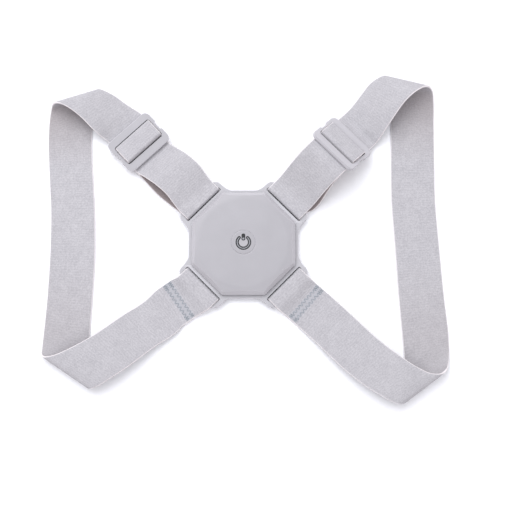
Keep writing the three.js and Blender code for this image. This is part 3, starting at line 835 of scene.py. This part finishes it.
def ring_stroke(stroke):
    """Outline of the symbol's open ring, with round ends."""
    half = stroke / 2
    start = math.pi / 2 + SYMBOL_GAP
    end = math.pi / 2 - SYMBOL_GAP + 2 * math.pi
    middle = np.zeros(2)

    def end_at(angle):
        return SYMBOL_RADIUS * np.array([math.cos(angle), math.sin(angle)])

    return (
        arc(middle, SYMBOL_RADIUS + half, start, end, steps=60)
        + arc(end_at(end), half, end, end + math.pi)
        + arc(middle, SYMBOL_RADIUS - half, end, start, steps=60)
        + arc(end_at(start), half, start + math.pi, start + 2 * math.pi)
    )


def bar_stroke():
    """Outline of the symbol's short upright bar."""
    head = SYMBOL_RADIUS + SYMBOL_STROKE / 2 + SYMBOL_BAR_PAST
    return rounded_rectangle(
        SYMBOL_BAR_WIDTH / 2, (head - SYMBOL_BAR_FROM) / 2, SYMBOL_BAR_CORNER,
        0, (SYMBOL_BAR_FROM + head) / 2,
    )


def turned(path):
    """A solid of revolution from a path of radius and height, closed by flat ends."""
    return loft([ring(radius, z) for radius, z in path], closed=False)


def power_button(plastic, black_and_painted_shade, guide):
    """Round button with a flange inside the cover and a sunk power symbol."""
    flange_top = CEILING - FIT_GAP
    flange_radius = BUTTON_RADIUS + FLANGE_WIDTH
    side = with_bends(
        [
            (BUTTON_RADIUS, flange_top - FLANGE_THICKNESS),
            (flange_radius, flange_top - FLANGE_THICKNESS),
            (flange_radius, flange_top),
            (BUTTON_RADIUS, flange_top),
            (BUTTON_RADIUS, BUTTON_TOP - GROOVE_DEPTH),
        ],
        BUTTON_ROUND, 2 * BEND_STEP,
    )
    for a in QUARTER[1:]:
        eased = GROOVE_DEPTH * (1 - math.sin(a))
        side.append((BUTTON_RADIUS - GROOVE_WIDTH * (1 - math.cos(a)), BUTTON_TOP - eased))
    side.append((BUTTON_RADIUS - GROOVE_WIDTH - FACE_MARGIN, BUTTON_TOP))
    button = mesh_object("button_moulding", *turned(side), plastic)
    floor = BUTTON_TOP - SYMBOL_DEPTH
    cutters = []
    for i, outline in enumerate([ring_stroke(SYMBOL_STROKE), bar_stroke()]):
        cutter = rounded_plate(outline, [], floor, BUTTON_TOP + SYMBOL_DEPTH, STROKE_ROUND)
        cutters.append((mesh_object(f"stroke_{i}", *cutter, black_and_painted_shade), "DIFFERENCE"))
    carve(button, cutters)
    attach(button, "button", "button_plastic", "power_button")
    square = rounded_rectangle(LIGHT_STROKE, LIGHT_STROKE, LIGHT_CORNER, 0, LIGHT_AT)
    for name, outline in [
        ("symbol_ring_light", ring_stroke(LIGHT_STROKE)),
        ("symbol_bar_light", square),
    ]:
        strip = rounded_plate(outline, [], floor, BUTTON_TOP - LIGHT_SUNK, LIGHT_ROUND)
        attach(mesh_object(name, *strip, guide), "button", "button_plastic")


# Buckles


def buckle_outline():
    """A round-cornered frame, notched in the middle of both short sides."""
    outline = []
    for turn in (0, math.pi):
        half_notch = NOTCH_LENGTH / 2
        notch = [
            (-half_notch - NOTCH_DEPTH, -BUCKLE_HALF_Y),
            (-half_notch, NOTCH_DEPTH - BUCKLE_HALF_Y),
            (half_notch, NOTCH_DEPTH - BUCKLE_HALF_Y),
            (half_notch + NOTCH_DEPTH, -BUCKLE_HALF_Y),
        ]
        start = (BUCKLE_CORNER - BUCKLE_HALF_X, -BUCKLE_HALF_Y)
        end = (BUCKLE_HALF_X - BUCKLE_CORNER, -BUCKLE_HALF_Y)
        half = with_bends([start, *notch, end], NOTCH_ROUND, 2 * BEND_STEP)[1:]
        lower = np.array([BUCKLE_HALF_X - BUCKLE_CORNER, BUCKLE_CORNER - BUCKLE_HALF_Y])
        half += arc(lower, BUCKLE_CORNER, -math.pi / 2, 0)
        half += arc(lower * (1, -1), BUCKLE_CORNER, 0, math.pi / 2)
        outline += [rotated(point, turn) for point in half]
    return outline


def beside_window(place):
    """Whether a point of a slider lies on a wall of its window."""
    x, y = np.abs(place)
    return x < WINDOW_HALF_X + WALL_REACH and y < WINDOW_HALF_Y + WALL_REACH


def slider(name, loop, plastic, shade):
    """Tri-glide buckle: a frame with a sunk centre bar, notched in its short sides."""
    window = rounded_rectangle(WINDOW_HALF_X, WINDOW_HALF_Y, 2 * BUCKLE_ROUND)[::-1]
    half = BUCKLE_THICKNESS / 2
    frame_part = rounded_plate(buckle_outline(), [window], -half, half, BUCKLE_ROUND, WINDOW_ROUND)
    # shade: the near-black second material, painted onto the window's walls as painted shade
    buckle = mesh_object(name, *frame_part, plastic, shade)
    paint_shade_on_walls(buckle, beside_window)
    bar = rounded_plate(
        rounded_rectangle(CENTRE_BAR / 2, WINDOW_HALF_Y + BUCKLE_ROUND, CENTRE_CORNER),
        [], -half, half - BAR_RECESS, CENTRE_ROUND,
    )
    carve(buckle, [(mesh_object("bar", *bar, plastic), "UNION")])
    place = buckle_place(loop)
    flip = own_side(loop)
    along = place.along * flip
    normal = place.normal * flip
    across = np.cross(normal, along)
    middle = place.middle * flip * MM
    lie = Matrix([[*row, at] for row, at in zip(np.stack([along, across, normal], 1), middle)])
    lie.resize_4x4()
    buckle.data.transform(lie)
    attach(buckle, "harness", "buckle_plastic", name.replace("slider", "buckle"))


# Webbing. A line is the middle of a line across it, and the direction across.

Place = namedtuple("Place", "middle along across normal")


def own_side(loop):
    """Turns what is worked out on the right over to the loop's own side."""
    return np.array([loop.side, 1, 1])


def buckle_place(loop):
    """A buckle's frame, seen with its loop to the right."""
    yaw = math.radians(45 + loop.yaw)
    pitch = math.radians(loop.pitch)
    level = math.cos(pitch)
    along = np.array([math.cos(yaw) * level, math.sin(yaw) * level, math.sin(pitch)])
    across = np.array([-math.sin(yaw), math.cos(yaw), 0])
    middle = np.array([*on_diagonal(math.pi / 4, loop.out, loop.across), loop.up])
    return Place(middle, along, across, np.cross(along, across))


def ear_place(angle, across, out=0.0):
    """Where the webbing leaves an ear: level, and this far out on the lower diagonal."""
    outward = np.array([math.cos(-math.pi / 4), math.sin(-math.pi / 4), 0])
    return Place(
        outward * out,
        np.array([math.cos(angle), math.sin(angle), 0]),
        np.array([math.cos(across), math.sin(across), 0]),
        UP,
    )


def lines_through(place, path):
    """Lines across the webbing at each point of a path drawn along a place."""
    return [(place.middle + x * place.along + y * place.normal, place.across) for x, y in path]


def round_ear():
    """Through a slot and round the ear's bar, from underneath to the top."""
    away = EAR_REACH + BEND_RADIUS
    return with_bends(
        [(away, HALF_STRAP), (BESIDE_BAR, HALF_STRAP), (BESIDE_BAR, OVER_EAR), (away, OVER_EAR)],
        BEND_RADIUS,
    )


def sewn_end():
    """Under the buckle, up past the centre bar, over it and down."""
    low = UNDER_BARS - LAYER_STEP
    return with_bends(
        [
            (-BESIDE_CENTRE, UNDER_BARS + LAYER_GAP),
            (-BESIDE_CENTRE, OVER_CENTRE),
            (BESIDE_CENTRE, OVER_CENTRE),
            (BESIDE_CENTRE, low),
            (-PAST_BUCKLE, low),
        ],
        BEND_RADIUS,
    )


def threaded():
    """Under the end bars and over the sewn end."""
    beside = WINDOW_HALF_X - HUMP_GAP - HALF_STRAP
    over = OVER_CENTRE + LAYER_STEP
    return with_bends(
        [
            (-PAST_BUCKLE, UNDER_BARS),
            (-beside, UNDER_BARS),
            (-beside, over),
            (beside, over),
            (beside, UNDER_BARS),
            (PAST_BUCKLE, UNDER_BARS),
        ],
        BEND_RADIUS,
    )


def span(before, after, rows, curl):
    """Chosen lines between an ear and its buckle."""
    (start, start_across), (end, end_across) = before[-1], after[0]
    lines = []
    for along, sway, lift in rows:
        across = unit(start_across + (end_across - start_across) * along)
        middle = start + (end - start) * along + across * sway * STRAP_WIDTH
        middle[2] = max(middle[2] + lift * curl, HALF_STRAP)
        lines.append((middle, across))
    return lines


def loop_lines(loop):
    """Chosen lines from the buckle round the loop to the lower ear."""
    lines = []
    for x, y, turn, wide, outer, inner in loop.lines:
        angle = math.pi + math.radians(turn)
        rise = (inner - outer) * loop.curl / STRAP_WIDTH
        across = unit(np.array([math.cos(angle), math.sin(angle), rise])) * wide
        up = y * (loop.drop if y < 0 else loop.rise)
        height = HALF_STRAP + (outer + inner) / 2 * loop.curl
        lines.append((np.array([x * loop.reach, up, height]), across))
    return lines


def between(points, gaps, share):
    """A point on the curve from the second to the third of four points."""
    first, start, end, last = points
    gap_in, gap, gap_out = gaps
    leaving = (start - first) / gap_in - (end - first) / (gap_in + gap) + (end - start) / gap
    reaching = (end - start) / gap - (last - start) / (gap + gap_out) + (last - end) / gap_out
    square = share ** 2
    cube = share ** 3
    return (
        (2 * cube - 3 * square + 1) * start
        + (cube - 2 * square + share) * leaving * gap
        + (3 * square - 2 * cube) * end
        + (cube - square) * reaching * gap
    )


def smooth(before, lines, after):
    """Fine lines between two stretches, on smooth curves through the chosen lines."""
    chosen = [*before[-2:], *lines, *after[:2]]
    fine = []
    for four in zip(chosen, chosen[1:], chosen[2:], chosen[3:]):
        middles = [middle for middle, _ in four]
        acrosses = [across for _, across in four]
        gaps = [math.sqrt(np.linalg.norm(b - a)) for a, b in zip(middles, middles[1:])]
        for share in np.arange(STEPS_PER_LINE) / STEPS_PER_LINE:
            fine.append((between(middles, gaps, share), between(acrosses, (1, 1, 1), share)))
    return fine[1:]


def seam_place(loop):
    """Where the webbing is sewn to itself, just past the lower ear."""
    veer = math.radians(loop.seam_turn)
    return ear_place(-math.pi / 4 + veer, math.pi * 1.25 + veer, BAR_INNER)


def strap_lines(loop):
    """The whole strap, seen with its loop to the right."""
    place = buckle_place(loop)
    upper = lines_through(ear_place(math.pi / 4, math.pi * 0.75), round_ear())
    lower = lines_through(ear_place(-math.pi / 4, math.pi * 1.25), round_ear())[::-1]
    sewn = lines_through(place, sewn_end())
    through = lines_through(place, threaded())
    ends = (SEAM_LENGTH, SEAM_LENGTH * SEAM_FROM)
    seam_top = lines_through(seam_place(loop), [(x, SEAM_TOP) for x in ends])
    fine = np.linspace(*ends, SEAM_STEPS)
    seam_fine = lines_through(seam_place(loop), [(x, SEAM_TOP) for x in fine])
    seam_under = lines_through(seam_place(loop), [(x, HALF_STRAP) for x in fine[::-1]])
    return [
        *sewn,
        *smooth(sewn, span(sewn, upper, loop.under, loop.curl), upper),
        *upper,
        *smooth(upper, span(upper, through, loop.over, loop.curl), through),
        *through,
        *smooth(through, loop_lines(loop), seam_top),
        *seam_fine,
        *smooth(seam_top, [], lower),
        *lower,
        *seam_under,
    ]


def webbing_section():
    """Once round the webbing's cut, in shares of its half width and half thickness."""
    flat = 1 - SELVEDGE_ROUND
    half = [(share * flat, 1.0) for share in np.linspace(-1, 1, COLUMNS + 1)]
    for angle in np.radians((60, 30, 0, -30, -60)):
        half.append((flat + SELVEDGE_ROUND * math.cos(angle), math.sin(angle)))
    return np.array(half + [(-u, -v) for u, v in half])


def zigzag(row):
    """Where the needle goes in along one row, out from the bar and across the webbing."""
    half = STRAP_WIDTH / 2 - STITCH_INSET
    holes = []
    v = -half
    while v < half:
        dense = abs(v) > half - BARTACK
        side = 1 if len(holes) % 2 else -1
        holes.append((row + side * (BARTACK_WIDTH if dense else STITCH_WIDTH) / 2, v))
        v += (BARTACK_PITCH if dense else STITCH_PITCH) / 2
    return holes


def runs(points):
    """At each point of a path, the way from the point before it to the one after it."""
    ahead = np.concatenate([points[1:], points[-1:]])
    behind = np.concatenate([points[:1], points[:-1]])
    return ahead - behind


def tube(points, radius, sides=6):
    """Rings round a thread that runs through the points."""
    points = np.array(points)
    rings = []
    for point, run in zip(points, runs(points)):
        beside = unit(np.cross(run, UP))
        above = unit(np.cross(beside, run))
        rings.append([
            point + radius * (math.cos(a) * beside + math.sin(a) * above)
            for a in np.arange(sides) * 2 * math.pi / sides
        ])
    return loft(np.array(rings), closed=False)


def stitching(name, loop, thread, height):
    """The two rows of thread on one face of a lower seam. They dip into their holes."""
    seam = seam_place(loop)
    flip = own_side(loop)
    level = height - SEAM_DENT if height > SEAM_TOP else height
    vertices = []
    faces = []
    for row in SEAM_ROWS:
        path = []
        holes = zigzag(row)
        for (x, v), (next_x, next_v) in zip(holes, holes[1:]):
            for share, rise in THREAD_RISE:
                out = (x + (next_x - x) * share) * seam.along
                over = (v + (next_v - v) * share) * seam.across
                up = (level + THREAD_RADIUS * rise) * UP
                path.append((seam.middle + out + over + up) * flip)
        rings, skin = tube(path, THREAD_RADIUS)
        faces += [tuple(i + len(vertices) for i in face) for face in skin]
        vertices += list(rings)
    made = mesh_object(name, vertices, faces, thread)
    attach(made, "harness", "webbing")
    return made


def ramp(value, start, full):
    """From 0 at start to 1 at full."""
    return float(np.clip((value - start) / (full - start), 0, 1))


def painted_hollow_shade(loop, middle, along):
    """How much shade is painted onto the webbing as a browner tone: in the run under the
    buckle, and where it lies on the table beside a fold."""
    if along < UNDER_RUN:
        return UNDER_PAINTED_SHADE
    if middle[0] < OUTER_RUN * loop.reach:
        return 0.0
    by_fold = FOLD_PAINTED_SHADE * ramp(middle[1] / loop.rise, *FOLD_FROM)
    by_foot = FOOT_PAINTED_SHADE * ramp(-middle[1] / loop.drop, *FOOT_FROM)
    return (1 - ramp(middle[2], *LIFTED)) * max(by_fold, by_foot)


def dent_at(seam, middle):
    """How far the two rows of thread pull the upper layer down."""
    past_bar = (middle - seam.middle) @ seam.along
    from_row, to_row = SEAM_ROWS
    half = STITCH_WIDTH / 2
    on_top = abs(middle[2] - SEAM_TOP) < 0.01
    if not on_top or not from_row - half < past_bar < to_row + half:
        return 0.0
    return SEAM_DENT * sum(math.exp(-((past_bar - row) / DENT_REACH) ** 2) for row in SEAM_ROWS)


def store(made, name, kind, field, values):
    """Stores a value at each corner of a mesh, for its material to read."""
    stored = made.data.attributes.new(name, kind, "POINT")
    stored.data.foreach_set(field, values)


def webbing(name, loop, cloth, thread):
    """One strap: a band of even thickness through its lines, flat where it lies."""
    lines = strap_lines(loop)
    middles = np.array([middle for middle, _ in lines]) * own_side(loop)
    acrosses = np.array([across for _, across in lines]) * own_side(loop)
    normals = np.cross(acrosses, runs(middles))
    normals *= HALF_STRAP / np.linalg.norm(normals, axis=1)[:, None]
    steps = np.linalg.norm(np.diff(middles, axis=0), axis=1)
    reached = np.concatenate([[0], np.cumsum(steps)])
    section = webbing_section()
    seam = seam_place(loop)
    rings = []
    woven = []
    hollows = []
    for line, middle, across, normal, along in zip(lines, middles, acrosses, normals, reached):
        corners = middle + section[:, :1] * across * STRAP_WIDTH / 2 + section[:, 1:] * normal
        dent = dent_at(seam, line[0])
        corners[corners[:, 2] > middle[2], 2] -= dent
        corners[:, 2] = np.maximum(corners[:, 2], 0)
        rings.append(corners)
        sewn = SEWN_TINT if dent else 0
        woven += [(u * STRAP_WIDTH / 2, along, sewn) for u in section[:, 0]]
        # Painted shade, stored at each corner for the material
        hollows += [painted_hollow_shade(loop, line[0], along)] * len(section)
    strap = mesh_object(name, *loft(rings, closed=False), cloth)
    store(strap, "webbing", "FLOAT_VECTOR", "vector", np.array(woven).ravel())
    store(strap, "painted_shade", "FLOAT", "value", hollows)
    attach(strap, "harness", "webbing", name.replace("webbing", "strap"))
    seams = [
        stitching(name.replace("webbing", f"seam_{side}"), loop, thread, height)
        for side, height in (("top", SEAM_TOP + HALF_STRAP), ("under", THREAD_UNDER))
    ]


# Table, light and camera


def table():
    """A wide white table, a hair below the webbing and the threads under it."""
    signs = [(-1, -1), (1, -1), (1, 1), (-1, 1)]
    corners = [(x * TABLE_HALF, y * TABLE_HALF, TABLE_LEVEL) for x, y in signs]
    top = mesh_object("table", corners, [(0, 1, 2, 3)], white_laminate())


def soft_box(name, place, size, power, tint):
    """A round lamp that faces the part. Its place and size are in metres."""
    lamp = bpy.data.lights.new(name, "AREA")
    lamp.shape = "DISK"
    lamp.size = size
    lamp.energy = power
    lamp.color = colour(tint)[:3]
    made = bpy.data.objects.new(name, lamp)
    made.location = place
    made.rotation_euler = (-Vector(place)).to_track_quat("-Z", "Y").to_euler()
    bpy.context.scene.collection.objects.link(made)


def light():
    """A large soft box above the far left, and light from all round that is brightest
    overhead, dim and warm lower down, and pale again at the horizon behind the table."""
    soft_box("key", place=(-0.32, 0.58, 1), size=1.1, power=8.4, tint="#fbfdff")
    world = bpy.data.worlds.new("studio")
    world.use_nodes = True
    tree = world.node_tree
    way = add(tree, "TexCoord", {}).outputs["Generated"]
    height = add(tree, "SeparateXYZ", {"Vector": way}).outputs[2]
    horizon = ranged(tree, height, *HORIZON, 1, 0)
    tint = blend(tree, height, "#cfbab9", "#f6fbff")
    tint = blend(tree, horizon, tint, "#f4f4f8")
    bright = ranged(tree, height, 0, 1, LOW_LIGHT, HIGH_LIGHT)
    bright = maths(tree, "MAXIMUM", horizon, bright)
    around = tree.nodes["Background"]
    tree.links.new(tint, around.inputs["Color"])
    tree.links.new(bright.outputs[0], around.inputs["Strength"])
    bpy.context.scene.world = world


def camera():
    """High above the part, and a little towards its lower end."""
    lens = bpy.data.cameras.new("camera")
    lens.sensor_width = SENSOR
    lens.lens = LENS
    made = bpy.data.objects.new("camera", lens)
    made.location = Vector(CAMERA_AT) * MM
    looks_at = Vector(CAMERA_AIM) * MM
    made.rotation_euler = (looks_at - made.location).to_track_quat("-Z", "Y").to_euler()
    bpy.context.scene.collection.objects.link(made)
    bpy.context.scene.camera = made


camera()
light()
table()
cloth = woven_elastic()
thread = sewing_thread()
webbing("left_webbing", LEFT, cloth, thread)
webbing("right_webbing", RIGHT, cloth, thread)
# Near-black for the sunk symbol, and painted shade for the walls of slots and windows
black_and_painted_shade = near_black_and_painted_shade()
back_housing(housing_plastic(), black_and_painted_shade)
front_cover(cover_plastic())
power_button(button_plastic(), black_and_painted_shade, light_guide())
acetal = slider_plastic()
slider("left_slider", LEFT, acetal, black_and_painted_shade)
slider("right_slider", RIGHT, acetal, black_and_painted_shade)

bpy.context.scene.view_settings.view_transform = "Standard"
